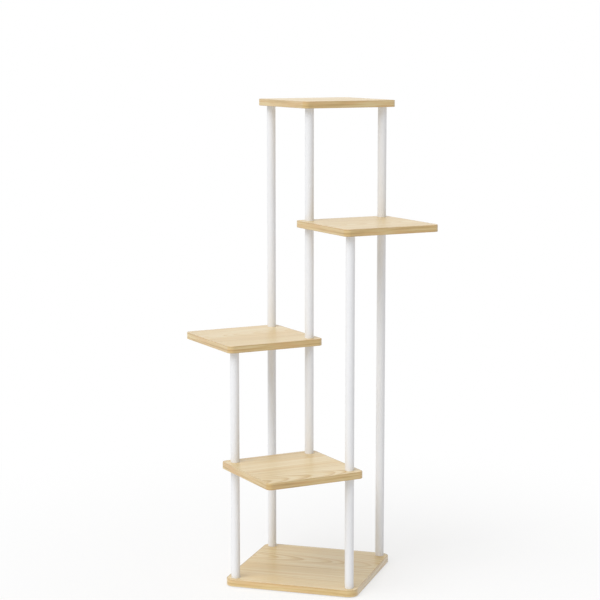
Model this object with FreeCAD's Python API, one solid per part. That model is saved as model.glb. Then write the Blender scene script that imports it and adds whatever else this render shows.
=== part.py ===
"""Tiered plant stand: a square base board and four smaller shelves that climb round five steel posts.

The stand is drawn as it stands on the floor: +Z is up, -Y is the front, and the origin lies on the
floor under the centre post.  Four outer posts stand at the corners of a square and the fifth stands
in its middle.  Each shelf is turned by 45 degrees and lies over one side of that square, so that two
of its corners sit on the outer posts of that side and a third on the centre post.  The shelves follow
one another like the steps of a spiral stair: front, left, right, back.

No screw shows.  Every tube has a hexagon bush welded into each end: the lower one is threaded, and
the upper one carries a stud.  Where a post starts, a bolt comes up into its lowest bush from a recess
under the board.  Where it passes a board, the stud of the tube below goes through the board into the
bush of the tube above.  Where it ends, a short stud screws into an insert nut in the board's
underside.
"""

import FreeCAD
import Part

import math
import os
from collections.abc import Callable
from dataclasses import dataclass
from enum import Enum

# Posts
POST_SPACING = 254.0  # between the axes of two neighbouring outer posts
TUBE_DIAMETER = 19.0
TUBE_WALL = 1.0
CLEAR_HEIGHT = 240.0  # from the top of one board to the underside of the next level

# Boards
BOARD_THICKNESS = 15.0
BASE_MARGIN = 19.5  # from a post's axis to the nearest edges of the base board
BASE_CORNER_RADIUS = 20.0
SHELF_MARGIN = 23.0  # from a post's axis to the nearest edges of a shelf
SHELF_CORNER_RADIUS = 12.0
SHELF_TURN = 45.0  # degrees
BAND_THICKNESS = 2.0  # strip glued round the edge of each board
BAND_BEVEL = 1.0  # its eased arrises, top and bottom
GLUE_LINE = 0.1  # between the strip and the board

# Hexagon bushes in the tube ends
BUSH_LENGTH = 18.0
BUSH_FIT = 0.05  # between a bush's corners and the bore of its tube

# Screw thread shared by the bolts, the studs, the bushes and the insert nuts
SCREW_DIAMETER = 6.0
SCREW_FIT = 0.05  # radial, in a bush or an insert nut
SCREW_CLEARANCE = 0.25  # radial, in a board
SCREW_GRIP = 14.0  # length of thread inside a bush

# Flat-head bolts
HEAD_DIAMETER = 14.0
HEAD_HEIGHT = 2.6
CROWN_DIAMETER = 12.0  # of the head at its outer end
SOCKET_WIDTH = 4.0  # across the flats
SOCKET_DEPTH = 2.0
RECESS_CLEARANCE = 1.0  # radial, round the head
RECESS_COVER = 0.8  # from the head to the board's underside

# Insert nuts
INSERT_DIAMETER = 10.0
INSERT_FIT = 0.05  # radial, in the board
INSERT_COVER = 4.0  # wood left above the hole for an insert nut
INSERT_RELIEF = 0.6  # air above the insert nut in its hole
# Anti-slip pads
PAD_DIAMETER = 25.0
PAD_THICKNESS = 2.0
PAD_INSET = 27.0  # from an outer post's axis towards the middle, along X and along Y

UP = FreeCAD.Vector(0, 0, 1)
ORIGIN = FreeCAD.Vector(0, 0, 0)
HALF_SPACING = POST_SPACING / 2
BORE_RADIUS = TUBE_DIAMETER / 2 - TUBE_WALL
SCREW_RADIUS = SCREW_DIAMETER / 2
THREAD_RADIUS = SCREW_RADIUS + SCREW_FIT
RECESS_RADIUS = HEAD_DIAMETER / 2 + RECESS_CLEARANCE
RECESS_DEPTH = HEAD_HEIGHT + RECESS_COVER
INSERT_LENGTH = BOARD_THICKNESS - INSERT_COVER - INSERT_RELIEF
BASE_SIDE = POST_SPACING + 2 * BASE_MARGIN
SHELF_SIDE = POST_SPACING / math.sqrt(2) + 2 * SHELF_MARGIN


class Joint(Enum):
    """How a post is held at a board."""

    START = "bolt from a recess under the board"
    PASS = "long stud into the tube above"
    END = "short stud into an insert nut"


@dataclass(frozen=True)
class Board:
    """A square board with round corners, told by its level and the middle of its plan."""

    name: str
    level: int
    middle_x: float
    middle_y: float
    side: float
    corner_radius: float
    turn: float

    @property
    def underside(self) -> float:
        """Height of the lower face."""
        return PAD_THICKNESS + self.level * (BOARD_THICKNESS + CLEAR_HEIGHT)

    @property
    def top(self) -> float:
        """Height of the upper face."""
        return self.underside + BOARD_THICKNESS


@dataclass(frozen=True)
class Post:
    """A post on one axis, and the boards that it meets from the lowest to the highest."""

    name: str
    x: float
    y: float
    boards: tuple[Board, ...]

    def joint_at(self, board: Board) -> Joint:
        """Tell how this post is held at one of its boards."""
        if board is self.boards[0]:
            return Joint.START
        if board is self.boards[-1]:
            return Joint.END
        return Joint.PASS

    def tubes(self) -> list[tuple[str, Board, Board]]:
        """List the name of each tube of the post with the boards below and above it."""
        spans = list(zip(self.boards, self.boards[1:]))
        places = ("lower", "upper") if len(spans) == 2 else ("lower", "middle", "upper")
        return [(f"{self.name}_{place}_tube", *span) for place, span in zip(places, spans)]


BASE = Board("base_board", 0, 0, 0, BASE_SIDE, BASE_CORNER_RADIUS, 0)


def shelf(name: str, level: int, side_x: int, side_y: int) -> Board:
    """Describe the shelf over one side of the post square, at a level counted from the base."""
    middle_x = side_x * HALF_SPACING
    middle_y = side_y * HALF_SPACING
    return Board(name, level, middle_x, middle_y, SHELF_SIDE, SHELF_CORNER_RADIUS, SHELF_TURN)


FRONT_SHELF = shelf("front_shelf", 1, 0, -1)
LEFT_SHELF = shelf("left_shelf", 2, -1, 0)
RIGHT_SHELF = shelf("right_shelf", 3, 1, 0)
TOP_SHELF = shelf("top_shelf", 4, 0, 1)
BOARDS = (BASE, FRONT_SHELF, LEFT_SHELF, RIGHT_SHELF, TOP_SHELF)


def outer_post(name: str, side_x: int, side_y: int, *boards: Board) -> Post:
    """Describe the outer post at one corner of the post square."""
    return Post(name, side_x * HALF_SPACING, side_y * HALF_SPACING, boards)


POSTS = (
    outer_post("front_left", -1, -1, BASE, FRONT_SHELF, LEFT_SHELF),
    outer_post("front_right", 1, -1, BASE, FRONT_SHELF, RIGHT_SHELF),
    outer_post("back_right", 1, 1, BASE, RIGHT_SHELF, TOP_SHELF),
    outer_post("back_left", -1, 1, BASE, LEFT_SHELF, TOP_SHELF),
    Post("centre", 0, 0, (FRONT_SHELF, LEFT_SHELF, RIGHT_SHELF, TOP_SHELF)),
)


def rod(x: float, y: float, z: float, radius: float, length: float) -> Part.Shape:
    """Make an upright cylinder that stands on height z."""
    return Part.makeCylinder(radius, length, FreeCAD.Vector(x, y, z), UP)


def ring(x: float, y: float, z: float, outer: float, inner: float, length: float) -> Part.Shape:
    """Make an upright cylinder with a bore right through it."""
    return rod(x, y, z, outer, length).cut(rod(x, y, z, inner, length))


def slab(board: Board, shrink: float) -> Part.Shape:
    """Make a board's square outline with round corners, at its place and full thickness.

    The outline lies inside the board's own by the amount of shrink all round.
    """
    half = board.side / 2 - shrink
    block = Part.makeBox(2 * half, 2 * half, BOARD_THICKNESS, FreeCAD.Vector(-half, -half, 0))
    corners = [edge for edge in block.Edges if edge.BoundBox.ZLength > BOARD_THICKNESS / 2]
    block = block.makeFillet(board.corner_radius - shrink, corners)
    block.rotate(ORIGIN, UP, board.turn)
    block.translate(FreeCAD.Vector(board.middle_x, board.middle_y, board.underside))
    return block


def hole_for(joint: Joint, post: Post, board: Board) -> Part.Shape:
    """Make the space that a joint needs in a board."""
    x, y, z = post.x, post.y, board.underside
    if joint is Joint.END:
        return rod(x, y, z, INSERT_DIAMETER / 2 + INSERT_FIT, INSERT_LENGTH + INSERT_RELIEF)
    hole = rod(x, y, z, SCREW_RADIUS + SCREW_CLEARANCE, BOARD_THICKNESS)
    if joint is Joint.START:
        hole = hole.fuse(rod(x, y, z, RECESS_RADIUS, RECESS_DEPTH))
    return hole


def board_core(board: Board) -> Part.Shape:
    """Make a board inside its edge band, with the holes of its posts."""
    core = slab(board, BAND_THICKNESS + GLUE_LINE)
    for post in POSTS:
        if board in post.boards:
            core = core.cut(hole_for(post.joint_at(board), post, board))
    return core


def edge_band(board: Board) -> Part.Shape:
    """Make the strip round a board's edge, with eased arrises."""
    outside = slab(board, 0)
    arrises = [edge for edge in outside.Edges if edge.BoundBox.ZLength < BOARD_THICKNESS / 2]
    outside = outside.makeChamfer(BAND_BEVEL, arrises)
    return outside.cut(slab(board, BAND_THICKNESS))


def tube(post: Post, below: Board, above: Board) -> Part.Shape:
    """Make one tube of a post, from the board below it to the board above."""
    length = above.underside - below.top
    return ring(post.x, post.y, below.top, TUBE_DIAMETER / 2, BORE_RADIUS, length)


def hexagon(x: float, y: float, z: float, corner_radius: float, length: float) -> Part.Shape:
    """Make an upright six-sided bar that stands on height z."""
    turns = [math.radians(60 * corner) for corner in range(7)]
    corners = [
        FreeCAD.Vector(x + corner_radius * math.cos(turn), y + corner_radius * math.sin(turn), z)
        for turn in turns
    ]
    return Part.Face(Part.makePolygon(corners)).extrude(UP * length)


def bush(post: Post, foot: float) -> Part.Shape:
    """Make the six-sided bar that fills a tube's end, with its lower face at the height of foot."""
    return hexagon(post.x, post.y, foot, BORE_RADIUS - BUSH_FIT, BUSH_LENGTH)


def threaded_bush(post: Post, below: Board) -> Part.Shape:
    """Make the bush in the lower end of a tube, with its thread right through."""
    return bush(post, below.top).cut(rod(post.x, post.y, below.top, THREAD_RADIUS, BUSH_LENGTH))


def stud_bush(post: Post, above: Board) -> Part.Shape:
    """Make the bush in the upper end of a tube, with the stud that stands out of it."""
    reach = INSERT_LENGTH if post.joint_at(above) is Joint.END else BOARD_THICKNESS + SCREW_GRIP
    root = above.underside - BUSH_LENGTH / 2
    stud = rod(post.x, post.y, root, SCREW_RADIUS, above.underside + reach - root)
    return bush(post, above.underside - BUSH_LENGTH).fuse(stud)


def insert_nut(post: Post, board: Board) -> Part.Shape:
    """Make the insert nut in the underside of the board that a post ends at."""
    return ring(post.x, post.y, board.underside, INSERT_DIAMETER / 2, THREAD_RADIUS, INSERT_LENGTH)


def bolt(post: Post, board: Board) -> Part.Shape:
    """Make the flat-head bolt that comes up through a board into a post's lowest bush."""
    crown = board.underside + RECESS_COVER
    seat = crown + HEAD_HEIGHT
    foot = FreeCAD.Vector(post.x, post.y, crown)
    head = Part.makeCone(CROWN_DIAMETER / 2, HEAD_DIAMETER / 2, HEAD_HEIGHT, foot, UP)
    shank = rod(post.x, post.y, seat, SCREW_RADIUS, board.top + SCREW_GRIP - seat)
    key_socket = hexagon(post.x, post.y, crown, SOCKET_WIDTH / math.sqrt(3), SOCKET_DEPTH)
    return head.fuse(shank).cut(key_socket)


def pad(post: Post) -> Part.Shape:
    """Make the round anti-slip pad under the base board beside an outer post."""
    x = math.copysign(abs(post.x) - PAD_INSET, post.x)
    y = math.copysign(abs(post.y) - PAD_INSET, post.y)
    return rod(x, y, 0, PAD_DIAMETER / 2, PAD_THICKNESS)


def at_joints(
    make: Callable[[Post, Board], Part.Shape], joint: Joint, posts: tuple[Post, ...] = POSTS
) -> Part.Shape:
    """Make one fastener for each place where these posts are held by a kind of joint."""
    places = [(post, board) for post in posts for board in post.boards]
    return Part.makeCompound([make(post, board) for post, board in places if post.joint_at(board) is joint])


def all_parts() -> dict[str, Part.Shape]:
    """Make every separate piece of the stand, by its name."""
    outer, centre = POSTS[:-1], POSTS[-1:]
    parts = {}
    for board in BOARDS:
        parts[board.name] = board_core(board)
        parts[f"{board.name}_edge_band"] = edge_band(board)
    for post in POSTS:
        for name, below, above in post.tubes():
            parts[name] = tube(post, below, above)
        feet, heads = post.boards[:-1], post.boards[1:]
        parts[f"{post.name}_threaded_bushes"] = Part.makeCompound([threaded_bush(post, b) for b in feet])
        parts[f"{post.name}_stud_bushes"] = Part.makeCompound([stud_bush(post, b) for b in heads])
    parts["insert_nuts"] = at_joints(insert_nut, Joint.END)
    parts["base_bolts"] = at_joints(bolt, Joint.START, outer)
    parts["centre_bolt"] = at_joints(bolt, Joint.START, centre)
    parts["anti_slip_pads"] = Part.makeCompound([pad(post) for post in outer])
    return parts


os.makedirs("parts", exist_ok=True)
for part_name, part_shape in all_parts().items():
    part_shape.exportStep(f"parts/{part_name}.step")
    count = len(part_shape.Solids)
    print(f"{part_name}: {count} solids, {part_shape.Volume / 1000:.1f} cm3, valid {part_shape.isValid()}")
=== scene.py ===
"""Looks of a tiered plant stand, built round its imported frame.

A square base board and four smaller shelves climb round five posts like the steps of a spiral stair.
The boards are pale wood with a strip of banding round the edge, the posts are steel tube under a white
powder coat, and the screws that hold them are out of sight.  Sizes are in metres.  The stand stands on
the floor, +Z is up and -Y is its front.
"""

import logging
import math
from collections.abc import Callable, Iterator
from contextlib import contextmanager
from dataclasses import dataclass
from enum import Enum

import bmesh
import bpy
from mathutils import Matrix, Vector


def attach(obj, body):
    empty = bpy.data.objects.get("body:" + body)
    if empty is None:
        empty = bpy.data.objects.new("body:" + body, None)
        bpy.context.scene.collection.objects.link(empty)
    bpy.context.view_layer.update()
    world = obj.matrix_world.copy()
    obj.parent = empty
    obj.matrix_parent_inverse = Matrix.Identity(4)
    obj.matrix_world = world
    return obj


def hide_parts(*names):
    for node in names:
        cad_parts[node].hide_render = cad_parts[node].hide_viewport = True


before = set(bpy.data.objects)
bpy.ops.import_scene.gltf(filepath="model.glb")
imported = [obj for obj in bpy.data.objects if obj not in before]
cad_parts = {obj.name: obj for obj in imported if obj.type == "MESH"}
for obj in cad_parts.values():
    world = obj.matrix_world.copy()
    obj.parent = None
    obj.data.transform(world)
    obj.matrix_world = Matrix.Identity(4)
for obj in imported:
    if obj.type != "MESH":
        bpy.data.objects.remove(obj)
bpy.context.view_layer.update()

Point = tuple[float, float, float]
Colour = tuple[float, float, float]
Levels = tuple[tuple[float, float], ...]
LOG = logging.getLogger("plant_stand")

BODY = "root"
ROUND_STEPS = 64  # round a full circle
SMALL_STEPS = 32  # round a bore or a screw's tip
HEXAGON = 6  # sides of a bush or a key
CORNER_STEPS = 20  # round a quarter of a circle
WELD = 1e-6  # points nearer than this are one point


class Pick(Enum):
    """What a selection in edit mode is made of."""

    VERTS = "VERT"
    EDGES = "EDGE"
    FACES = "FACE"


class Hold(Enum):
    """How a post is held at a board."""

    START = "bolt from a recess under the board"
    PASS = "long stud into the tube above"
    END = "short stud into an insert nut"


class Wire:
    """A node's output.  Sums written on wires add their Math nodes."""

    def __init__(self, graph: "Graph", socket: bpy.types.NodeSocket) -> None:
        """Wrap one output socket.

        Args:
            graph: The graph that the socket's node is in.
            socket: The output socket.
        """
        self.graph = graph
        self.socket = socket

    def __add__(self, other: "Wire | float") -> "Wire":
        """Add a wire or a number."""
        return self.graph.math("ADD", self, other)

    def __sub__(self, other: "Wire | float") -> "Wire":
        """Take away a wire or a number."""
        return self.graph.math("SUBTRACT", self, other)

    def __rsub__(self, other: float) -> "Wire":
        """Take this wire away from a number."""
        return self.graph.math("SUBTRACT", other, self)

    def __mul__(self, other: "Wire | float") -> "Wire":
        """Multiply by a wire or a number."""
        return self.graph.math("MULTIPLY", self, other)

    def __truediv__(self, other: "Wire | float") -> "Wire":
        """Divide by a wire or a number."""
        return self.graph.math("DIVIDE", self, other)

    def other(self, name: str) -> "Wire":
        """Give another output of the same node, by its identifier."""
        outputs = {socket.identifier: socket for socket in self.socket.node.outputs}
        return Wire(self.graph, outputs[name])

    __radd__ = __add__
    __rmul__ = __mul__


class Graph:
    """The nodes of one material or of the world."""

    def __init__(self, tree: bpy.types.NodeTree) -> None:
        """Start with an empty tree.

        Args:
            tree: The node tree to fill.
        """
        tree.nodes.clear()
        self.tree = tree

    def node(self, kind: str, settings: dict | None = None, inputs: dict | None = None) -> Wire:
        """Add a node.

        Args:
            kind: The node's type.
            settings: Its properties, set first.  "stops" are a ramp's places and colours.
            inputs: Values or wires for its sockets, by the sockets' identifiers.

        Returns:
            The node's first output.
        """
        made = self.tree.nodes.new(kind)
        for key, value in (settings or {}).items():
            if key == "stops":
                self._set_stops(made.color_ramp, value)
            else:
                setattr(made, key, value)
        sockets = {socket.identifier: socket for socket in made.inputs}
        for key, value in (inputs or {}).items():
            if isinstance(value, Wire):
                self.tree.links.new(value.socket, sockets[key])
            elif isinstance(value, tuple) and sockets[key].type == "RGBA":
                sockets[key].default_value = (*value, 1.0)
            else:
                sockets[key].default_value = value
        return Wire(self, made.outputs[0] if made.outputs else None)

    @staticmethod
    def _set_stops(ramp: bpy.types.ColorRamp, stops: list[tuple[float, Colour]]) -> None:
        """Give a ramp its colours.

        Args:
            ramp: The ramp of a new node, which has two stops.
            stops: Places from 0 to 1 with their colours, in order.
        """
        while len(ramp.elements) < len(stops):
            ramp.elements.new(1.0)
        for element, (place, colour) in zip(ramp.elements, stops):
            element.position = place
            element.color = (*colour, 1.0)

    def math(self, operation: str, first: Wire | float, second: Wire | float = 0.0) -> Wire:
        """Add a Math node of two values."""
        return self.node("ShaderNodeMath", {"operation": operation}, {"Value": first, "Value_001": second})

    def place(self, middle: Point = (0.0, 0.0, 0.0), turn: float = 0.0) -> Wire:
        """Give the coordinates of a point of the surface on a piece's own axes.

        Args:
            middle: Where the axes start.
            turn: How far they are turned about the upright, in radians.

        Returns:
            The coordinates, in metres.
        """
        seen = self.node("ShaderNodeTexCoord").other("Object")
        return self.node(
            "ShaderNodeMapping",
            {"vector_type": "TEXTURE"},
            {"Vector": seen, "Location": middle, "Rotation": (0.0, 0.0, turn)},
        )

    def axes(self, place: Wire) -> tuple[Wire, Wire, Wire]:
        """Split coordinates into their three numbers."""
        x = self.node("ShaderNodeSeparateXYZ", inputs={"Vector": place})
        return x, x.other("Y"), x.other("Z")

    def stretch(self, place: Wire, cycles: Point) -> Wire:
        """Multiply coordinates by a number of their own on each axis."""
        factors = {"Vector": place, "Vector_001": cycles}
        return self.node("ShaderNodeVectorMath", {"operation": "MULTIPLY"}, factors)

    def noise(self, place: Wire, cycles: Point, detail: float = 2.0, roughness: float = 0.5) -> Wire:
        """Add a noise that may be stretched.

        Args:
            place: Where it is read.
            cycles: How often it changes in a metre, along each axis.
            detail: How many finer layers it has.
            roughness: How strong the finer layers are.

        Returns:
            The noise, from 0 to 1, about 0.5 on average.
        """
        place = self.stretch(place, cycles)
        return self.node(
            "ShaderNodeTexNoise",
            inputs={"Vector": place, "Scale": 1.0, "Detail": detail, "Roughness": roughness},
        )

    def swing(self, place: Wire, cycles: Point, detail: float = 2.0, roughness: float = 0.5) -> Wire:
        """Add a noise that varies about nought, from -0.5 to 0.5."""
        return self.noise(place, cycles, detail, roughness) - 0.5

    def rise(self, value: Wire, low: float, high: float, start: float = 0.0, end: float = 1.0) -> Wire:
        """Turn a value smoothly from start at low to end at high."""
        ends = {"Value": value, "From Min": low, "From Max": high, "To Min": start, "To Max": end}
        return self.node("ShaderNodeMapRange", {"interpolation_type": "SMOOTHSTEP"}, ends)

    def ramp(self, value: Wire, stops: list[tuple[float, Colour]]) -> Wire:
        """Turn a value into a colour."""
        return self.node("ShaderNodeValToRGB", {"stops": stops}, {"Fac": value})

    def levels(self, value: Wire, stops: Levels) -> Wire:
        """Turn a value into a grey, which counts as a number."""
        return self.ramp(value, [(place, (grey, grey, grey)) for place, grey in stops])

    def blend(self, share: Wire | float, first: Wire | Colour, second: Wire | Colour) -> Wire:
        """Mix two colours."""
        return self.node(
            "ShaderNodeMix",
            {"data_type": "RGBA"},
            {"Factor_Float": share, "A_Color": first, "B_Color": second},
        ).other("Result_Color")

    def bump(self, height: Wire, strength: float, distance: float) -> Wire:
        """Turn a height into a normal."""
        settings = {"Strength": strength, "Distance": distance, "Height": height}
        return self.node("ShaderNodeBump", inputs=settings)

    def surface(self, sockets: dict) -> None:
        """Finish a material with the Principled shader."""
        shader = self.node("ShaderNodeBsdfPrincipled", inputs=sockets)
        self.node("ShaderNodeOutputMaterial", inputs={"Surface": shader})


def new_material(name: str) -> tuple[bpy.types.Material, Graph]:
    """Make an empty material.

    Args:
        name: The material's name.

    Returns:
        The material and its graph.
    """
    material = bpy.data.materials.new(name)
    material.use_nodes = True
    return material, Graph(material.node_tree)


@dataclass(frozen=True)
class Figure:
    """Where a board was cut from its log, which gives it its own figure."""

    heart_across: float
    heart_depth: float
    taper: float
    shift: float


@dataclass(frozen=True)
class BoardWood:
    """Pale flat-sawn wood under a satin lacquer, its grain along the board's own X.

    Each pattern is given by its cycles in a metre along, across and through the board.
    """

    pale: Colour = (0.757, 0.630, 0.402)
    middle: Colour = (0.666, 0.498, 0.228)
    late: Colour = (0.510, 0.315, 0.092)
    blush: Colour = (0.670, 0.462, 0.200)
    pore: Colour = (0.300, 0.200, 0.100)
    bends: Point = (1.8, 5.0, 5.0)
    bend_across: float = 0.024
    bend_deep: float = 0.010
    ripples: Point = (14.0, 60.0, 60.0)
    ripple_size: float = 0.0013
    year_cycles: float = 70.0
    year_spread: float = 0.012
    ring_spacing: float = 0.0056
    ring_tones: Levels = ((0.0, 0.30), (0.12, 0.0), (0.55, 0.14), (0.86, 0.75), (0.95, 1.0), (1.0, 0.30))
    patches: Point = (3.0, 12.0, 12.0)
    streaks: Point = (2.5, 150.0, 150.0)
    fibres: Point = (16.0, 1000.0, 1000.0)
    clouds: Point = (3.0, 6.0, 6.0)
    hairs: Point = (2.2, 300.0, 300.0)
    blushes: Point = (3.5, 55.0, 55.0)
    pores: Point = (45.0, 1500.0, 1500.0)
    line_share: float = 1.20
    streak_share: float = 1.20
    fibre_share: float = 0.85
    hair_share: float = 0.30
    cloud_share: float = 0.40
    lowest_tone: float = 0.08
    blush_share: float = 0.45
    pore_share: float = 0.38
    roughness: float = 0.46
    gloss: float = 0.25
    lacquer: float = 0.6
    lacquer_roughness: float = 0.30

    def material(self, name: str, middle: Point, turn: float, figure: Figure) -> bpy.types.Material:
        """Make the wood of one board.

        Args:
            name: The material's name.
            middle: Middle of the board.
            turn: Turn of the board's own X, in radians.
            figure: Where the board was cut from its log.

        Returns:
            The material.
        """
        material, graph = new_material(name)
        place = graph.place((middle[0], middle[1], middle[2] - figure.shift), turn)
        along, across, depth = graph.axes(place)
        wander = graph.swing(place, self.bends, 1.0)
        side = across - figure.heart_across + wander * self.bend_across
        below = wander * self.bend_deep + (figure.heart_depth - figure.shift)
        rise = along * figure.taper + depth + below
        ripple = graph.swing(place, self.ripples) * self.ripple_size
        radius = graph.math("SQRT", side * side + rise * rise) + ripple
        years = {"W": radius * self.year_cycles, "Scale": 1.0}
        uneven = graph.node("ShaderNodeTexNoise", {"noise_dimensions": "1D"}, years)
        count = (radius + uneven * self.year_spread) / self.ring_spacing
        ring = graph.math("FRACT", count)
        year = {"W": graph.math("FLOOR", count)}
        strength = graph.node("ShaderNodeTexWhiteNoise", {"noise_dimensions": "1D"}, year) * 0.6 + 0.4
        line = graph.levels(ring, self.ring_tones) * strength
        patch = graph.rise(graph.noise(place, self.patches, 1.0), 0.32, 0.68, 0.45, 1.0)
        streak = graph.swing(place, self.streaks, 3.0, 0.6)
        fibre = graph.swing(place, self.fibres, 4.0, 0.70)
        cloud = graph.swing(place, self.clouds, 1.0)
        thread = graph.math("ABSOLUTE", graph.swing(place, self.hairs, 1.0))
        hair = graph.rise(thread, 0.0, 0.045, 1.0, 0.0) * graph.rise(streak, -0.10, 0.12)
        tone = line * patch * self.line_share + streak * self.streak_share + fibre * self.fibre_share
        tone = tone + hair * self.hair_share + cloud * self.cloud_share + self.lowest_tone
        plain = graph.ramp(tone, [(0.0, self.pale), (0.45, self.middle), (1.0, self.late)])
        warm = graph.rise(graph.noise(place, self.blushes, 1.0), 0.42, 0.72)
        wood = graph.blend(warm * self.blush_share, plain, self.blush)
        cells = {"Vector": graph.stretch(place, self.pores), "Scale": 1.0}
        nearest = graph.node("ShaderNodeTexVoronoi", inputs=cells)
        early = graph.rise(ring, 0.0, 0.45, 0.42, 0.12)
        pores = graph.rise(nearest / early, 0.70, 1.0, 1.0, 0.0) * graph.rise(fibre, -0.05, 0.1)
        height = fibre * 0.5 - pores * 0.8 - line * 0.15
        graph.surface(
            {
                "Base Color": graph.blend(pores * self.pore_share, wood, self.pore),
                "Roughness": self.roughness + streak * 0.16 + pores * 0.2,
                "Normal": graph.bump(height, 0.25, 0.0002),
                "Specular IOR Level": self.gloss,
                "Coat Weight": self.lacquer,
                "Coat Roughness": self.lacquer_roughness,
            }
        )
        return material


@dataclass(frozen=True)
class EdgeWood:
    """Wood strip round a board's edge, with long streaks that follow it, and painted shade along its bottom
    arris.

    Each pattern is given by its cycles in a metre along the strip and up it.
    """

    pale: Colour = (0.680, 0.535, 0.275)
    middle: Colour = (0.580, 0.403, 0.160)
    late: Colour = (0.345, 0.205, 0.062)
    warm: Colour = (0.618, 0.372, 0.150)
    # colour of the cut top face, also used for the painted shade along the bottom arris and for the thin
    # darker line below the top arris
    cut: Colour = (0.435, 0.285, 0.128)
    bends: Point = (5.0, 20.0, 1.0)
    bend_height: float = 0.022
    line_spacing: float = 0.0083
    line_tones: Levels = ((0.0, 0.45), (0.30, 0.0), (0.70, 0.35), (0.92, 1.0), (1.0, 0.45))
    stripes: Point = (7.0, 110.0, 1.0)
    streaks: Point = (9.0, 420.0, 1.0)
    fibres: Point = (40.0, 1500.0, 1.0)
    patches: Point = (16.0, 130.0, 1.0)
    line_share: float = 0.30
    stripe_share: float = 1.20
    streak_share: float = 1.60
    fibre_share: float = 0.70
    lowest_tone: float = 0.21
    patch_share: float = 0.55
    # depth of the thin darker line below the top of the strip, and its strength
    dark_line_below: float = 0.0016
    dark_line_share: float = 0.60
    # strength of the darker cut top face and of the painted shade along the bottom arris
    rim_and_shade_share: float = 0.70
    roughness: float = 0.36
    lacquer: float = 0.7
    lacquer_roughness: float = 0.22

    def material(self, name: str, seed: float, thickness: float) -> bpy.types.Material:
        """Make the wood of one strip.

        Args:
            name: The material's name.
            seed: Which part of the wood this strip comes from.
            thickness: Height of the strip.

        Returns:
            The material.
        """
        material, graph = new_material(name)
        seen = graph.node("ShaderNodeTexCoord").other("UV")
        cut_from = {"Vector": seen, "Vector_001": (0.0, 0.0, seed)}
        place = graph.node("ShaderNodeVectorMath", {"operation": "ADD"}, cut_from)
        _, height, _ = graph.axes(place)
        lift = graph.swing(place, self.bends) * self.bend_height
        phase = graph.math("FRACT", (height + lift) / self.line_spacing)
        line = graph.levels(phase, self.line_tones)
        stripe = graph.swing(place, self.stripes, 1.0)
        streak = graph.swing(place, self.streaks, 3.0, 0.6)
        fibre = graph.swing(place, self.fibres, 2.0, 0.6)
        tone = line * self.line_share + stripe * self.stripe_share + streak * self.streak_share
        tone = tone + fibre * self.fibre_share + self.lowest_tone
        plain = graph.ramp(tone, [(0.0, self.pale), (0.45, self.middle), (1.0, self.late)])
        patch = graph.rise(graph.noise(place, self.patches), 0.40, 0.70)
        wood = graph.blend(patch * self.patch_share, plain, self.warm)
        # Darker rims: the strip's cut top face gets its own darker colour, and its bottom arris and
        # underside get painted shade.
        over = graph.rise(height, thickness + 0.0006, thickness + 0.0010)
        painted_bottom_shade = 1.0 - graph.rise(height, -0.0002, 0.0008)
        rim = graph.math("MAXIMUM", over * self.rim_and_shade_share, painted_bottom_shade * self.rim_and_shade_share)
        # A thin darker line just below the top arris.
        off = graph.math("ABSOLUTE", height - (thickness - self.dark_line_below))
        cut = graph.math("MAXIMUM", rim, graph.rise(off, 0.0008, 0.0002) * self.dark_line_share)
        graph.surface(
            {
                "Base Color": graph.blend(cut, wood, self.cut),
                "Roughness": self.roughness + streak * 0.15,
                "Normal": graph.bump(fibre * 0.6 + line * 0.2, 0.2, 0.0002),
                "Specular IOR Level": 0.5,
                "Coat Weight": self.lacquer,
                "Coat Roughness": self.lacquer_roughness,
            }
        )
        return material


@dataclass(frozen=True)
class PowderCoat:
    """White powder coat, satin, with the slight orange peel of a baked finish."""

    colour: Colour = (0.800, 0.804, 0.818)
    shade: Colour = (0.765, 0.770, 0.788)
    peel: Point = (900.0, 900.0, 700.0)
    drift: Point = (14.0, 14.0, 5.0)
    specks: Point = (2600.0, 2600.0, 2600.0)
    roughness: float = 0.38

    def material(self) -> bpy.types.Material:
        """Make the coat.

        Returns:
            The material.
        """
        material, graph = new_material("white_powder_coat")
        place = graph.place()
        peel = graph.noise(place, self.peel, 2.0, 0.55)
        drift = graph.noise(place, self.drift)
        specks = graph.swing(place, self.specks, 1.0)
        graph.surface(
            {
                "Base Color": graph.blend(graph.rise(drift, 0.35, 0.75) * 0.5, self.colour, self.shade),
                "Roughness": self.roughness + (drift - 0.5) * 0.10 + specks * 0.06,
                "Normal": graph.bump(peel, 0.30, 0.00008),
                "Specular IOR Level": 0.5,
            }
        )
        return material


@dataclass(frozen=True)
class Metal:
    """Plated or turned metal with tool marks and a little tarnish."""

    name: str
    bright: Colour
    dull: Colour
    roughness: float
    tarnish: Point = (180.0, 180.0, 180.0)
    marks: Point = (400.0, 400.0, 9000.0)

    def material(self) -> bpy.types.Material:
        """Make the metal.

        Returns:
            The material.
        """
        material, graph = new_material(self.name)
        place = graph.place()
        tarnish = graph.noise(place, self.tarnish, 3.0, 0.6)
        marks = graph.noise(place, self.marks, 1.0)
        graph.surface(
            {
                "Base Color": graph.blend(graph.rise(tarnish, 0.35, 0.70), self.bright, self.dull),
                "Metallic": 1.0,
                "Roughness": self.roughness + (tarnish - 0.5) * 0.25 + (marks - 0.5) * 0.10,
                "Normal": graph.bump(marks, 0.15, 0.00004),
            }
        )
        return material


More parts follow.
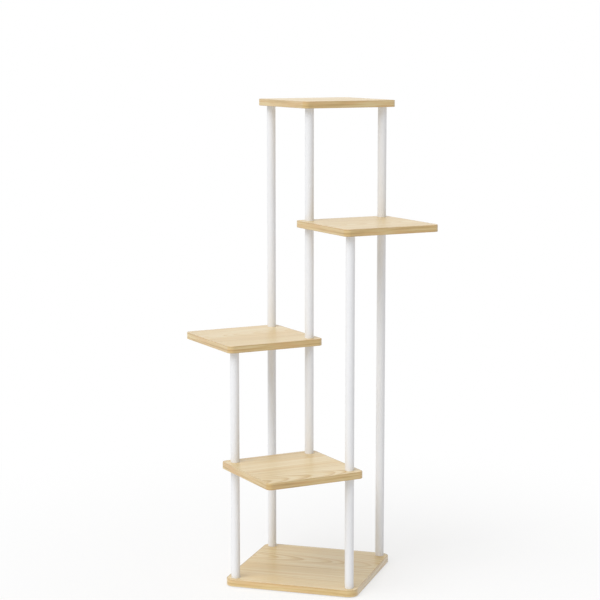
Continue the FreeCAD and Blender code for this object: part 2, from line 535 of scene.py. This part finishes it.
@dataclass(frozen=True)
class FoamRubber:
    """Matt black foam rubber with open pores."""

    colour: Colour = (0.030, 0.030, 0.031)
    dust: Colour = (0.090, 0.088, 0.084)
    cells: float = 1600.0
    specks: Point = (220.0, 220.0, 220.0)

    def material(self) -> bpy.types.Material:
        """Make the rubber.

        Returns:
            The material.
        """
        material, graph = new_material("black_foam_rubber")
        place = graph.place()
        cells = graph.node("ShaderNodeTexVoronoi", inputs={"Vector": place, "Scale": self.cells})
        dust = graph.noise(place, self.specks, 3.0, 0.6)
        graph.surface(
            {
                "Base Color": graph.blend(graph.rise(dust, 0.45, 0.75) * 0.6, self.colour, self.dust),
                "Roughness": 0.80 + (dust - 0.5) * 0.2,
                "Normal": graph.bump(graph.rise(cells, 0.1, 0.6), 0.6, 0.00015),
                "Specular IOR Level": 0.3,
            }
        )
        return material


def take_up(body: bpy.types.Object) -> None:
    """Select one object alone and make it the active one.

    Args:
        body: The object.
    """
    bpy.ops.object.select_all(action="DESELECT")
    body.select_set(True)
    bpy.context.view_layer.objects.active = body


class Workpiece:
    """A mesh that is shaped with hand tools, with its place in its mesh."""

    def __init__(self, name: str, start: Callable[..., object], **settings: object) -> None:
        """Take up what an operator adds, such as a primitive at its size and place.

        Args:
            name: The piece's name.
            start: The operator.
            settings: The operator's settings.
        """
        bpy.ops.object.select_all(action="DESELECT")
        start(**settings)
        self.body = bpy.context.object
        self.body.name = name
        self.settle()

    def settle(self) -> None:
        """Move the object's place, turn and scale into its mesh."""
        take_up(self.body)
        bpy.ops.object.transform_apply(location=True, rotation=True, scale=True)

    @contextmanager
    def editing(self) -> Iterator[None]:
        """Hold the piece alone in edit mode."""
        take_up(self.body)
        bpy.ops.object.mode_set(mode="EDIT")
        yield
        bpy.ops.object.mode_set(mode="OBJECT")

    def pick(self, kind: Pick, wanted: Callable[[Vector], bool]) -> None:
        """Select what lies wholly where a test says.  The piece is in edit mode.

        Args:
            kind: What is selected.
            wanted: The test of a point.
        """
        bpy.ops.mesh.select_mode(type=kind.value)
        bpy.ops.mesh.select_all(action="DESELECT")
        mesh = bmesh.from_edit_mesh(self.body.data)
        items = {Pick.VERTS: mesh.verts, Pick.EDGES: mesh.edges, Pick.FACES: mesh.faces}[kind]
        for item in items:
            points = [item.co] if kind is Pick.VERTS else [vert.co for vert in item.verts]
            item.select_set(all(wanted(point) for point in points))
        mesh.select_flush_mode()
        bmesh.update_edit_mesh(self.body.data)

    def ease(
        self, height: float, width: float, steps: int, wanted: Callable[[Vector], bool] = lambda point: True
    ) -> None:
        """Round or chamfer the edges that lie at one height.

        Args:
            height: The height.
            width: Width of the rounding.
            steps: Faces across it: one makes a chamfer.
            wanted: A further test of the edges' points.
        """
        with self.editing():
            self.pick(Pick.EDGES, lambda point: abs(point.z - height) < WELD and wanted(point))
            bpy.ops.mesh.bevel(offset=width, segments=steps, affect="EDGES")

    def modify(self, kind: str, **settings: object) -> None:
        """Add a modifier and apply it.

        Args:
            kind: The modifier's type.
            settings: The modifier's properties.
        """
        take_up(self.body)
        bpy.ops.object.modifier_add(type=kind)
        modifier = self.body.modifiers[-1]
        for key, value in settings.items():
            setattr(modifier, key, value)
        bpy.ops.object.modifier_apply(modifier=modifier.name)

    def break_edges(self, width: float, steps: int, sharpest: float) -> None:
        """Break all edges that are sharper than an angle.

        Args:
            width: Width of the bevel.
            steps: Faces across it.
            sharpest: Largest angle that is left as it is, in degrees.
        """
        limit = math.radians(sharpest)
        self.modify("BEVEL", width=width, segments=steps, limit_method="ANGLE", angle_limit=limit)

    def carve(self, tool: "Workpiece") -> None:
        """Cut another piece's shape out of this one, and use that piece up."""
        self.modify("BOOLEAN", operation="DIFFERENCE", solver="EXACT", object=tool.body)
        bpy.data.objects.remove(tool.body)

    def add(self, other: "Workpiece") -> None:
        """Take another piece into this one, as a closed shell of its own.

        Args:
            other: The piece that is taken in.
        """
        bpy.ops.object.select_all(action="DESELECT")
        other.body.select_set(True)
        self.body.select_set(True)
        bpy.context.view_layer.objects.active = self.body
        bpy.ops.object.join()

    def smooth(self, sharpest: float = 35.0) -> None:
        """Shade curved faces smooth and keep flat faces flat.

        Args:
            sharpest: Largest angle that is still shaded smooth, in degrees.
        """
        take_up(self.body)
        bpy.ops.object.shade_smooth_by_angle(angle=math.radians(sharpest))
        self.modify("WEIGHTED_NORMAL", keep_sharp=True)

    def _duplicate(self) -> None:
        """Add a copy of the object with its own mesh."""
        take_up(self.body)
        bpy.ops.object.duplicate(linked=False)

    def copy(self, name: str, x: float, y: float, z: float) -> "Workpiece":
        """Make a copy with its own mesh.

        Args:
            name: The copy's name.
            x: How far it is moved along X.
            y: How far it is moved along Y.
            z: How far it is moved along Z.

        Returns:
            The copy.
        """
        twin = Workpiece(name, self._duplicate)
        twin.body.location = (x, y, z)
        twin.settle()
        return twin

    def dress(self, material: bpy.types.Material, slot: str, *nodes: str) -> None:
        """Give the finished piece its material and its place in the frame.

        Args:
            material: Its finish.
            slot: The record's material slot that the finish belongs to; not used.
            nodes: The nodes of the frame that the piece stands for.
        """
        self.body.data.materials.clear()
        self.body.data.materials.append(material)
        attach(self.body, BODY)
        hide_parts(*nodes)
        faces = len(self.body.data.polygons)
        LOG.info("%s: %d faces, stands for %s", self.body.name, faces, ", ".join(nodes))


def cylinder(
    name: str, x: float, y: float, z: float, radius: float, length: float, sides: int = ROUND_STEPS
) -> Workpiece:
    """Make an upright bar that stands on height z.

    Args:
        name: The piece's name.
        x: Its axis along X.
        y: Its axis along Y.
        z: Height of its foot.
        radius: Its radius, over the corners if it has few sides.
        length: Its height.
        sides: How many sides it has.

    Returns:
        The bar.
    """
    return Workpiece(
        name,
        bpy.ops.mesh.primitive_cylinder_add,
        calc_uvs=False,
        vertices=sides,
        radius=radius,
        depth=length,
        location=(x, y, z + length / 2),
        rotation=(0.0, 0.0, math.pi / 2),
    )


@dataclass(frozen=True)
class Board:
    """A square board with round corners and a strip of banding round its edge."""

    name: str
    underside: float
    middle_x: float
    middle_y: float
    side: float
    corner_radius: float
    turn: float
    figure: Figure
    thickness: float = 0.015
    band: float = 0.002
    glue_line: float = 0.0001
    band_round: float = 0.001
    band_steps: int = 4
    arris: float = 0.0003
    screw_hole: float = 0.00325
    recess_radius: float = 0.008
    recess_depth: float = 0.0034
    insert_radius: float = 0.00505
    insert_depth: float = 0.011

    @property
    def top(self) -> float:
        """Height of the upper face."""
        return self.underside + self.thickness

    def outline(self, name: str, shrink: float) -> Workpiece:
        """Make the flat outline of the board on its underside.

        Args:
            name: The piece's name.
            shrink: How far it lies inside the board's own outline.

        Returns:
            One flat face with round corners.
        """
        size = self.side - 2 * shrink
        piece = Workpiece(name, bpy.ops.mesh.primitive_plane_add, calc_uvs=False, size=size)
        radius = self.corner_radius - shrink
        with piece.editing():
            bpy.ops.mesh.select_all(action="SELECT")
            bpy.ops.mesh.bevel(offset=radius, segments=CORNER_STEPS, affect="VERTICES")
        piece.body.rotation_euler.z = self.turn
        piece.body.location = (self.middle_x, self.middle_y, self.underside)
        piece.settle()
        return piece

    def panel(self, holds: list[tuple[float, float, Hold]]) -> Workpiece:
        """Make the board inside its strip.

        Args:
            holds: Where posts are held on it, and how.

        Returns:
            The board with its holes.
        """
        piece = self.outline(f"{self.name}_panel", self.band + self.glue_line)
        with piece.editing():
            bpy.ops.mesh.select_all(action="SELECT")
            up = {"value": (0.0, 0.0, self.thickness)}
            bpy.ops.mesh.extrude_region_move(TRANSFORM_OT_translate=up)
        for x, y, hold in holds:
            margin = self.thickness / 10
            if hold is Hold.END:
                depth = self.insert_depth + margin
                piece.carve(cylinder("drill", x, y, self.underside - margin, self.insert_radius, depth))
                continue
            through = self.thickness + 2 * margin
            piece.carve(cylinder("drill", x, y, self.underside - margin, self.screw_hole, through))
            if hold is Hold.START:
                depth = self.recess_depth + margin
                piece.carve(cylinder("drill", x, y, self.underside - margin, self.recess_radius, depth))
        piece.break_edges(self.arris, 2, 50.0)
        piece.smooth()
        return piece

    def edging(self) -> Workpiece:
        """Make the strip round the board's edge, with round arrises and its grain along it.

        Returns:
            The strip.
        """
        piece = self.outline(f"{self.name}_edging", 0.0)
        with piece.editing():
            bpy.ops.mesh.select_mode(type="FACE")
            bpy.ops.mesh.select_all(action="SELECT")
            bpy.ops.mesh.inset(thickness=self.band, use_even_offset=True)
            bpy.ops.mesh.delete(type="FACE")
        piece.modify("SOLIDIFY", thickness=self.thickness, offset=1.0, use_even_offset=True)
        for height in (self.underside, self.top):
            piece.ease(
                height, self.band_round, self.band_steps, lambda point: self.inset_of(point) < self.band / 2
            )
        with piece.editing():
            joint = Matrix.Rotation(self.turn, 3, "Z") @ Vector((1.0, 0.0, 0.0))
            bpy.ops.mesh.select_all(action="SELECT")
            middle = (self.middle_x, self.middle_y, self.underside)
            bpy.ops.mesh.bisect(plane_co=middle, plane_no=joint, threshold=WELD)
        piece.smooth()
        self._unroll(piece)
        return piece

    def own_axes(self, point: Vector) -> Vector:
        """Give a point on the board's own axes, from the middle of its underside."""
        moved = point - Vector((self.middle_x, self.middle_y, self.underside))
        return Matrix.Rotation(-self.turn, 3, "Z") @ moved

    def inset_of(self, point: Vector) -> float:
        """Tell how far inside the board's outline a point of the plan lies.

        Args:
            point: The point.

        Returns:
            The distance.
        """
        own = self.own_axes(point)
        straight = self.side / 2 - self.corner_radius
        x, y = abs(own.x), abs(own.y)
        if x > straight and y > straight:
            return self.corner_radius - math.hypot(x - straight, y - straight)
        return self.side / 2 - max(x, y)

    def round_of(self, point: Vector) -> float:
        """Tell how far along the board's outline a point of its plan lies.

        Args:
            point: The point.

        Returns:
            The distance from the middle of the back.
        """
        own = self.own_axes(point)
        straight = self.side / 2 - self.corner_radius
        quarter = 2 * straight + self.corner_radius * math.pi / 2
        turns = 0
        while not (own.y >= 0 and abs(own.x) <= own.y) and turns < 4:
            own = Matrix.Rotation(math.pi / 2, 3, "Z") @ own
            turns += 1
        sideways = max(-straight, min(straight, own.x))
        lean = math.atan2(own.x - sideways, own.y - straight)
        return turns * quarter + sideways + lean * self.corner_radius

    def _unroll(self, piece: Workpiece) -> None:
        """Give a strip a map with its length along U and its unrolled height along V, in metres.

        Args:
            piece: The strip.
        """
        straight = self.side / 2 - self.corner_radius
        girth = 8 * straight + 2 * math.pi * self.corner_radius
        mesh = piece.body.data
        layer = mesh.uv_layers.new(name="strip")
        for face in mesh.polygons:
            centre = self.round_of(face.center) % girth
            for corner in face.loop_indices:
                point = mesh.vertices[mesh.loops[corner].vertex_index].co
                along = self.round_of(point)
                along -= girth * round((along - centre) / girth)
                height = point.z - self.underside
                inward = self.inset_of(point)
                unrolled = height + inward if height > self.thickness / 2 else height - inward
                layer.data[corner].uv = (along, unrolled)

    def build(self, holds: list[tuple[float, float, Hold]], wood: BoardWood, strip: EdgeWood) -> None:
        """Build and dress the board.

        Args:
            holds: Where posts are held on it, and how.
            wood: Finish of the board.
            strip: Finish of its strip.
        """
        middle = (self.middle_x, self.middle_y, self.underside)
        board_wood = wood.material(f"{self.name}_wood", middle, self.turn, self.figure)
        self.panel(holds).dress(board_wood, "board_wood", self.name)
        strip_wood = strip.material(f"{self.name}_strip", self.figure.shift, self.thickness)
        self.edging().dress(strip_wood, "edge_band_wood", f"{self.name}_edge_band")


@dataclass(frozen=True)
class Post:
    """A post on one axis, with the boards that it meets from the lowest to the highest."""

    name: str
    x: float
    y: float
    boards: tuple[Board, ...]
    radius: float = 0.0095
    wall: float = 0.001
    rim: float = 0.0002

    def hold_at(self, board: Board) -> Hold:
        """Tell how the post is held at one of its boards.

        Args:
            board: The board.

        Returns:
            The kind of joint.
        """
        if board is self.boards[0]:
            return Hold.START
        if board is self.boards[-1]:
            return Hold.END
        return Hold.PASS

    def spans(self) -> list[tuple[str, Board, Board]]:
        """List the tubes of the post.

        Returns:
            The place of each tube, with the boards below and above it.
        """
        pairs = list(zip(self.boards, self.boards[1:]))
        places = ("lower", "upper") if len(pairs) == 2 else ("lower", "middle", "upper")
        return [(place, *pair) for place, pair in zip(places, pairs)]

    def tube(self, name: str, foot: float, head: float) -> Workpiece:
        """Make one tube.

        Args:
            name: The piece's name.
            foot: Height of its lower end.
            head: Height of its upper end.

        Returns:
            The tube, with its wall and slightly rounded ends.
        """
        piece = cylinder(name, self.x, self.y, foot, self.radius, head - foot, ROUND_STEPS)
        with piece.editing():
            piece.pick(Pick.FACES, lambda point: point.z > head - WELD)
            bpy.ops.mesh.delete(type="FACE")
            piece.pick(Pick.FACES, lambda point: point.z < foot + WELD)
            bpy.ops.mesh.delete(type="FACE")
        piece.modify("SOLIDIFY", thickness=self.wall, offset=-1.0, use_even_offset=True)
        for height in (foot, head):
            piece.ease(height, self.rim, 2)
        piece.smooth()
        return piece

    def build(self, coat: bpy.types.Material) -> None:
        """Build and dress the tubes.

        Args:
            coat: Their powder coat.
        """
        for place, below, above in self.spans():
            piece = self.tube(f"{self.name}_{place}_post", below.top, above.underside)
            piece.dress(coat, "white_tube", f"{self.name}_{place}_tube")


@dataclass(frozen=True)
class Hardware:
    """The bushes, studs, bolts and insert nuts that hold the posts.

    Crest and flank are shares of a thread's pitch, the tip's chamfer is one of its length, the crown's and
    rim's rounds are shares of the head's height, and the mouth's sizes are shares of the socket's depth.
    """

    screw_radius: float = 0.003
    pitch: float = 0.001
    thread_depth: float = 0.0006
    thread_steps: int = 24
    thread_cuts: int = 7
    crest: float = 0.15
    flank: tuple[float, float] = (0.2, 0.3)
    tip: float = 0.0006
    tip_chamfer: float = 0.7
    bush_radius: float = 0.00845
    bush_length: float = 0.018
    bush_chamfer: float = 0.0006
    bore_radius: float = 0.00305
    grip: float = 0.014
    head_radius: float = 0.007
    crown_radius: float = 0.006
    head_height: float = 0.0026
    head_cover: float = 0.0008
    crown_round: float = 0.3
    rim_round: float = 0.1
    socket_width: float = 0.004
    socket_depth: float = 0.002
    mouth_flare: float = 0.5
    mouth_taper: float = 0.3
    mouth_depth: float = 0.4
    insert_radius: float = 0.005
    insert_length: float = 0.0104
    insert_pitch: float = 0.0022
    insert_depth: float = 0.0008

    def screw(
        self, name: str, foot: float, head: float, radius: float, pitch: float, depth: float
    ) -> Workpiece:
        """Make an upright bar with a real thread on it, on the Z axis.

        Args:
            name: The piece's name.
            foot: Height of its lower end.
            head: Height of its upper end.
            radius: Radius over the thread.
            pitch: Rise of the thread in one turn.
            depth: Depth of the thread.

        Returns:
            The bar, closed at both ends.
        """
        root = radius - depth
        piece = Workpiece(
            name,
            bpy.ops.mesh.primitive_plane_add,
            calc_uvs=False,
            size=pitch,
            location=(root + pitch / 2, 0.0, foot - pitch / 2),
            rotation=(math.pi / 2, 0.0, 0.0),
        )
        with piece.editing():
            piece.pick(Pick.VERTS, lambda point: point.x > root + pitch / 2)
            bpy.ops.mesh.delete(type="VERT")
            bpy.ops.mesh.select_all(action="SELECT")
            bpy.ops.mesh.subdivide(number_cuts=self.thread_cuts)
            middle = foot - pitch / 2
            piece.pick(Pick.VERTS, lambda point: abs(point.z - middle) < pitch * self.crest)
            bpy.ops.transform.translate(value=(depth, 0.0, 0.0))
            low, high = pitch * self.flank[0], pitch * self.flank[1]
            piece.pick(Pick.VERTS, lambda point: low < abs(point.z - middle) < high)
            bpy.ops.transform.translate(value=(depth / 2, 0.0, 0.0))
        turns = math.ceil((head - foot) / pitch) + 2
        steps = {"steps": self.thread_steps, "render_steps": self.thread_steps, "iterations": turns}
        piece.modify("SCREW", axis="Z", screw_offset=pitch, **steps)
        with piece.editing():
            bpy.ops.mesh.select_all(action="SELECT")
            bpy.ops.mesh.remove_doubles(threshold=WELD)
            for height, cut in ((foot, {"clear_inner": True}), (head, {"clear_outer": True})):
                bpy.ops.mesh.select_all(action="SELECT")
                bpy.ops.mesh.bisect(
                    plane_co=(0.0, 0.0, height),
                    plane_no=(0.0, 0.0, 1.0),
                    use_fill=True,
                    threshold=WELD / 10,
                    **cut,
                )
            bpy.ops.mesh.select_all(action="SELECT")
            bpy.ops.mesh.normals_make_consistent(inside=False)
        return piece

    def threaded_bar(self, name: str, foot: float, head: float) -> Workpiece:
        """Make a length of screw thread with a plain tip that leads it in.

        Args:
            name: The piece's name.
            foot: Height of its lower end.
            head: Height of the end of its tip.

        Returns:
            The bar.
        """
        piece = self.screw(name, foot, head - self.tip, self.screw_radius, self.pitch, self.thread_depth)
        core = self.screw_radius - self.thread_depth
        tip = cylinder("tip", 0.0, 0.0, head - 2 * self.tip, core, 2 * self.tip, SMALL_STEPS)
        tip.ease(head, self.tip * self.tip_chamfer, 1)
        piece.add(tip)
        return piece

    def bush(self, name: str, foot: float) -> Workpiece:
        """Make a six-sided bar with chamfered ends.

        Args:
            name: The piece's name.
            foot: Height of its lower face.

        Returns:
            The bar.
        """
        piece = cylinder(name, 0.0, 0.0, foot, self.bush_radius, self.bush_length, HEXAGON)
        for height in (foot, foot + self.bush_length):
            piece.ease(height, self.bush_chamfer, 1)
        return piece

    def threaded_bush(self) -> Workpiece:
        """Make a bush with its thread right through, standing on the origin.

        Returns:
            The bush.
        """
        piece = self.bush("threaded_bush", 0.0)
        margin = self.bush_chamfer
        length = self.bush_length + 2 * margin
        piece.carve(cylinder("drill", 0.0, 0.0, -margin, self.bore_radius, length, SMALL_STEPS))
        piece.break_edges(self.bush_chamfer / 2, 1, 70.0)
        piece.smooth()
        return piece

    def stud_bush(self, reach: float) -> Workpiece:
        """Make a bush with a stud, its upper face at the origin.

        Args:
            reach: How far the stud stands out of the bush.

        Returns:
            The bush with its stud.
        """
        piece = self.bush("stud_bush", -self.bush_length)
        piece.add(self.threaded_bar("stud", -self.bush_length / 2, reach))
        piece.smooth()
        return piece

    def bolt(self, thickness: float) -> Workpiece:
        """Make a flat-head bolt for a board whose underside is at the origin.

        Args:
            thickness: Thickness of the board.

        Returns:
            The bolt.
        """
        seat = self.head_cover + self.head_height
        piece = Workpiece(
            "flat_head_bolt",
            bpy.ops.mesh.primitive_cone_add,
            calc_uvs=False,
            vertices=ROUND_STEPS,
            radius1=self.crown_radius,
            radius2=self.head_radius,
            depth=self.head_height,
            location=(0.0, 0.0, self.head_cover + self.head_height / 2),
        )
        piece.ease(self.head_cover, self.head_height * self.crown_round, 3)
        piece.ease(seat, self.head_height * self.rim_round, 2)
        margin = self.socket_depth
        corner = self.socket_width / math.sqrt(3)
        depth = margin + self.socket_depth
        piece.carve(cylinder("key", 0.0, 0.0, self.head_cover - margin, corner, depth, HEXAGON))
        mouth = Workpiece(
            "mouth",
            bpy.ops.mesh.primitive_cone_add,
            calc_uvs=False,
            vertices=ROUND_STEPS,
            radius1=corner + self.socket_depth * self.mouth_flare,
            radius2=corner - self.socket_depth * self.mouth_taper,
            depth=self.socket_depth * self.mouth_depth,
            location=(0.0, 0.0, self.head_cover),
            rotation=(0.0, 0.0, math.pi / ROUND_STEPS),
        )
        piece.carve(mouth)
        piece.add(self.threaded_bar("shank", seat - self.pitch, thickness + self.grip))
        piece.smooth()
        return piece

    def insert_nut(self) -> Workpiece:
        """Make a wood insert with a coarse outer thread, standing on the origin.

        Returns:
            The insert nut.
        """
        piece = self.screw(
            "insert_nut", 0.0, self.insert_length, self.insert_radius, self.insert_pitch, self.insert_depth
        )
        margin = self.insert_depth
        length = self.insert_length + 2 * margin
        piece.carve(cylinder("drill", 0.0, 0.0, -margin, self.bore_radius, length, SMALL_STEPS))
        piece.smooth()
        return piece

    def build(self, posts: tuple[Post, ...], thickness: float) -> None:
        """Build and dress the hardware of all posts.

        Args:
            posts: The posts.
            thickness: Thickness of the boards.
        """
        steel = Metal("turned_steel", (0.56, 0.56, 0.57), (0.42, 0.41, 0.40), 0.36).material()
        plated = Metal("zinc_plated_steel", (0.70, 0.71, 0.72), (0.52, 0.53, 0.54), 0.30).material()
        yellow = Metal("yellow_zinc", (0.78, 0.62, 0.34), (0.58, 0.45, 0.22), 0.32).material()
        threaded = self.threaded_bush()
        long_stud = self.stud_bush(thickness + self.grip)
        short_stud = self.stud_bush(self.insert_length)
        bolt = self.bolt(thickness)
        insert = self.insert_nut()
        for post in posts:
            for place, below, above in post.spans():
                foot = threaded.copy(f"{post.name}_{place}_threaded_bush", post.x, post.y, below.top)
                foot.dress(steel, "bush_steel", f"{post.name}_threaded_bushes")
                ends = post.hold_at(above) is Hold.END
                stud = short_stud if ends else long_stud
                head = stud.copy(f"{post.name}_{place}_stud_bush", post.x, post.y, above.underside)
                head.dress(steel, "bush_steel", f"{post.name}_stud_bushes")
                if ends:
                    nut = insert.copy(f"{post.name}_insert_nut", post.x, post.y, above.underside)
                    nut.dress(yellow, "insert_zinc", "insert_nuts")
            first = post.boards[0]
            screw = bolt.copy(f"{post.name}_bolt", post.x, post.y, first.underside)
            screw.dress(plated, "screw_steel", "centre_bolt" if post.name == "centre" else "base_bolts")
        for pattern in (threaded, long_stud, short_stud, bolt, insert):
            bpy.data.objects.remove(pattern.body)


@dataclass(frozen=True)
class Pads:
    """The four anti-slip pads under the base board."""

    radius: float = 0.0125
    thickness: float = 0.002
    inset: float = 0.027
    rounding: float = 0.0005

    def build(self, posts: tuple[Post, ...], rubber: bpy.types.Material) -> None:
        """Build and dress the pads.

        Args:
            posts: The outer posts that they lie beside.
            rubber: Their material.
        """
        for post in posts:
            x = math.copysign(abs(post.x) - self.inset, post.x)
            y = math.copysign(abs(post.y) - self.inset, post.y)
            piece = cylinder(f"{post.name}_pad", x, y, 0.0, self.radius, self.thickness)
            piece.ease(0.0, self.rounding, 3)
            piece.ease(self.thickness, self.rounding / 2, 2)
            piece.smooth()
            piece.dress(rubber, "pad_rubber", "anti_slip_pads")


@dataclass(frozen=True)
class Studio:
    """Pale floor, soft light from the upper left of the view, and the camera."""

    camera_place: Point = (1.0988, -3.6238, 1.1592)
    camera_azimuth: float = math.radians(17.1717)
    camera_pitch: float = math.radians(8.2532)
    lens: float = 106.35
    sensor: float = 36.0
    sight: float = 100.0
    ambient: float = 0.50
    key_strength: float = 2.10
    key_direction: Point = (-0.404, -0.915, 1.15)
    key_softness: float = math.radians(52.0)
    floor_radius: float = 14.0
    floor_steps: int = 96
    floor_colour: Colour = (0.90, 0.90, 0.90)
    fade_start: float = 0.25
    fade_end: float = 1.3
    least_fade: float = 0.66

    def camera(self) -> None:
        """Place the camera where the photograph was taken from."""
        bpy.ops.object.camera_add(location=self.camera_place)
        camera = bpy.context.object
        camera.rotation_euler = (math.pi / 2 - self.camera_pitch, 0.0, self.camera_azimuth)
        camera.data.sensor_width = self.sensor
        camera.data.lens = self.lens
        camera.data.clip_end = self.sight
        bpy.context.scene.camera = camera

    def key_light(self) -> None:
        """Hang one wide, soft light."""
        bpy.ops.object.light_add(type="SUN")
        lamp = bpy.context.object
        lamp.rotation_euler = Vector(self.key_direction).to_track_quat("Z", "Y").to_euler()
        lamp.data.energy = self.key_strength
        lamp.data.angle = self.key_softness

    @staticmethod
    def _seen(graph: Graph) -> Wire:
        """Tell whether a ray comes from the camera, or from it by way of gloss or glass.

        Args:
            graph: The graph that asks.

        Returns:
            One if it does, and otherwise nought.
        """
        camera = graph.node("ShaderNodeLightPath")
        gloss = camera.other("Is Glossy Ray")
        glass = camera.other("Is Transmission Ray")
        return graph.math("MAXIMUM", camera, graph.math("MAXIMUM", gloss, glass))

    def world(self) -> None:
        """Light the stand evenly from all round, before a white background."""
        world = bpy.data.worlds.new("soft_white")
        world.use_nodes = True
        bpy.context.scene.world = world
        graph = Graph(world.node_tree)
        seen = self._seen(graph)
        strength = seen * (1.0 - self.ambient) + self.ambient
        light = graph.node("ShaderNodeBackground", inputs={"Color": (1.0, 1.0, 1.0), "Strength": strength})
        graph.node("ShaderNodeOutputWorld", inputs={"Surface": light})

    def floor(self) -> None:
        """Lay a pale floor that keeps the stand's shadow and fades into the background."""
        bpy.ops.mesh.primitive_circle_add(
            vertices=self.floor_steps, radius=self.floor_radius, fill_type="NGON"
        )
        floor = bpy.context.object
        floor.name = "floor"
        material, graph = new_material("pale_floor")
        place = graph.node("ShaderNodeVectorMath", {"operation": "LENGTH"}, {"Vector": graph.place()})
        fade = graph.rise(place.other("Value"), self.fade_start, self.fade_end, self.least_fade, 1.0)
        share = self._seen(graph) * fade
        matt = graph.node("ShaderNodeBsdfDiffuse", inputs={"Color": self.floor_colour})
        white = graph.node("ShaderNodeEmission", inputs={"Color": (1.0, 1.0, 1.0), "Strength": 1.0})
        both = graph.node("ShaderNodeMixShader", inputs={"Fac": share, "Shader": matt, "Shader_001": white})
        graph.node("ShaderNodeOutputMaterial", inputs={"Surface": both})
        floor.data.materials.append(material)

    def build(self) -> None:
        """Set up the studio."""
        self.camera()
        self.key_light()
        self.world()
        self.floor()


@dataclass(frozen=True)
class PlantStand:
    """The whole stand."""

    half_spacing: float = 0.127
    pad: float = 0.002
    rise: float = 0.255
    base_side: float = 0.293
    base_corner: float = 0.020
    shelf_margin: float = 0.023
    shelf_corner: float = 0.012

    def board(self, name: str, level: int, side_x: int, side_y: int, figure: Figure) -> Board:
        """Describe the board of one level.

        Args:
            name: The board's name.
            level: Its level, counted from the base board.
            side_x: Side of the post square that it lies over, along X.
            side_y: The same along Y.
            figure: Where it was cut from its log.

        Returns:
            The board.
        """
        height = self.pad + level * self.rise
        x, y = side_x * self.half_spacing, side_y * self.half_spacing
        if level == 0:
            return Board(name, height, x, y, self.base_side, self.base_corner, 0.0, figure)
        side = self.half_spacing * math.sqrt(2) + 2 * self.shelf_margin
        return Board(name, height, x, y, side, self.shelf_corner, math.pi / 4, figure)

    def build(self) -> None:
        """Build the stand from its base board up."""
        base = self.board("base_board", 0, 0, 0, Figure(0.040, 0.034, 0.10, 0.31))
        front = self.board("front_shelf", 1, 0, -1, Figure(-0.092, 0.030, 0.12, 1.27))
        left = self.board("left_shelf", 2, -1, 0, Figure(0.025, 0.030, -0.13, 2.63))
        right = self.board("right_shelf", 3, 1, 0, Figure(-0.020, 0.032, 0.12, 3.41))
        top = self.board("top_shelf", 4, 0, 1, Figure(0.055, 0.038, -0.15, 4.79))
        boards = (base, front, left, right, top)
        half = self.half_spacing
        posts = (
            Post("front_left", -half, -half, (base, front, left)),
            Post("front_right", half, -half, (base, front, right)),
            Post("back_right", half, half, (base, right, top)),
            Post("back_left", -half, half, (base, left, top)),
            Post("centre", 0.0, 0.0, (front, left, right, top)),
        )
        wood, strip = BoardWood(), EdgeWood()
        for board in boards:
            holds = [(post.x, post.y, post.hold_at(board)) for post in posts if board in post.boards]
            board.build(holds, wood, strip)
        coat = PowderCoat().material()
        for post in posts:
            post.build(coat)
        Hardware().build(posts, base.thickness)
        Pads().build(posts[:-1], FoamRubber().material())


def main() -> None:
    """Build the stand and its studio."""
    logging.basicConfig(level=logging.INFO, format="%(message)s")
    bpy.context.scene.view_settings.view_transform = "Standard"
    Studio().build()
    PlantStand().build()


if __name__ == "__main__":
    main()
